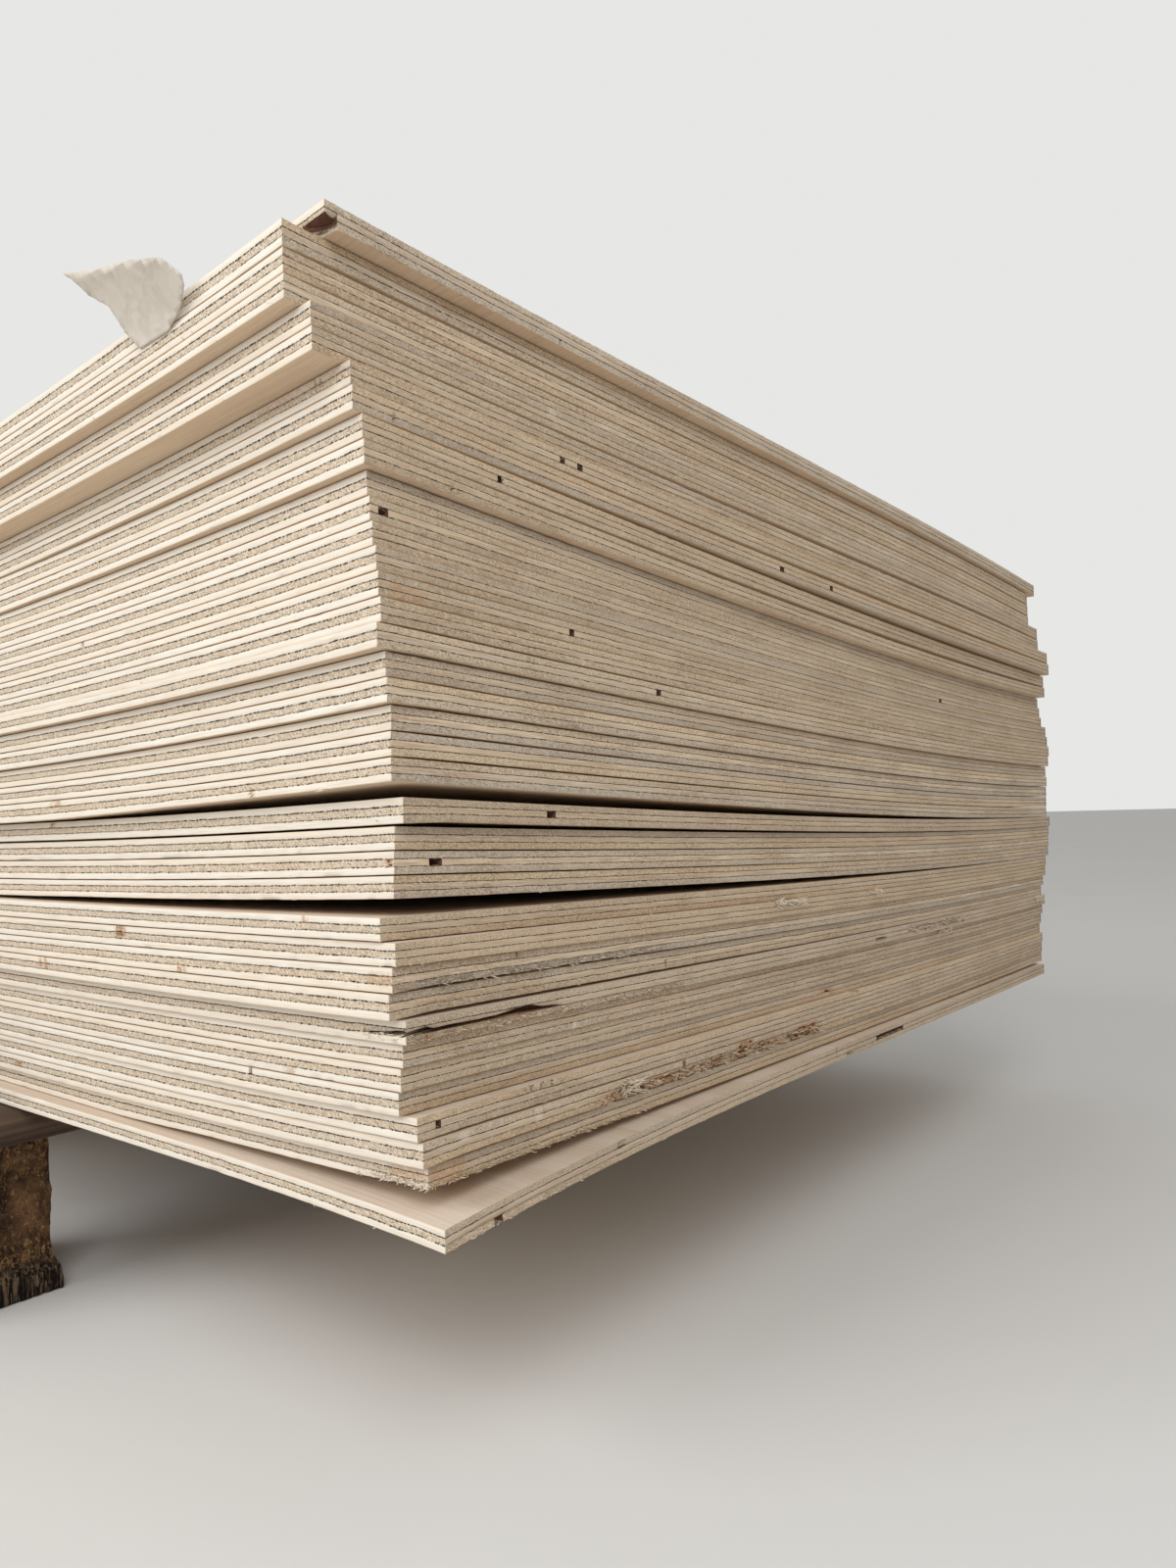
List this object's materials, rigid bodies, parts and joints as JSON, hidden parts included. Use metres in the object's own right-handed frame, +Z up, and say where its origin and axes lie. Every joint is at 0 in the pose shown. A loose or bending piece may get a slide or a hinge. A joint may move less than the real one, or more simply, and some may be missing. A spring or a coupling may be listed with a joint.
{
  "type": "stack of plywood sheets",
  "caption": "Loose stack of bowed three-ply plywood sheets, slid a little out of line, lying flat on two runners with blocks.",
  "frame": {"origin": "bottom centre of the bounding box, on the floor under the blocks", "axes": "+X along the sheets' length, towards the end whose corner faces the viewer in the picture; +Y along their width, away from the viewer's long side; +Z up"},
  "size_m": [1.2266, 0.94, 0.5216],
  "materials": {
    "plywood": "raw sawn edges, smooth faces",
    "paper": "matt torn paper",
    "runner_wood": "dark weathered, rough",
    "block_wood": "dark, rough and crumbly"
  },
  "bodies": {
    "root": {"block_left_back": "block_wood", "block_left_front": "block_wood", "block_left_middle": "block_wood", "block_right_back": "block_wood", "block_right_front": "block_wood", "block_right_middle": "block_wood", "plywood_sheet_01": "plywood", "plywood_sheet_02": "plywood", "plywood_sheet_03": "plywood", "plywood_sheet_04": "plywood", "plywood_sheet_05": "plywood", "plywood_sheet_06": "plywood", "plywood_sheet_07": "plywood", "plywood_sheet_08": "plywood", "plywood_sheet_09": "plywood", "plywood_sheet_10": "plywood", "plywood_sheet_11": "plywood", "plywood_sheet_12": "plywood", "plywood_sheet_13": "plywood", "plywood_sheet_14": "plywood", "plywood_sheet_15": "plywood", "plywood_sheet_16": "plywood", "plywood_sheet_17": "plywood", "plywood_sheet_18": "plywood", "plywood_sheet_19": "plywood", "plywood_sheet_20": "plywood", "plywood_sheet_21": "plywood", "plywood_sheet_22": "plywood", "plywood_sheet_23": "plywood", "plywood_sheet_24": "plywood", "plywood_sheet_25": "plywood", "plywood_sheet_26": "plywood", "plywood_sheet_27": "plywood", "plywood_sheet_28": "plywood", "plywood_sheet_29": "plywood", "plywood_sheet_30": "plywood", "plywood_sheet_31": "plywood", "plywood_sheet_32": "plywood", "plywood_sheet_33": "plywood", "plywood_sheet_34": "plywood", "plywood_sheet_35": "plywood", "plywood_sheet_36": "plywood", "plywood_sheet_37": "plywood", "plywood_sheet_38": "plywood", "runner_board_left": "runner_wood", "runner_board_right": "runner_wood", "torn_label": "paper"}
  },
  "joints": []
}
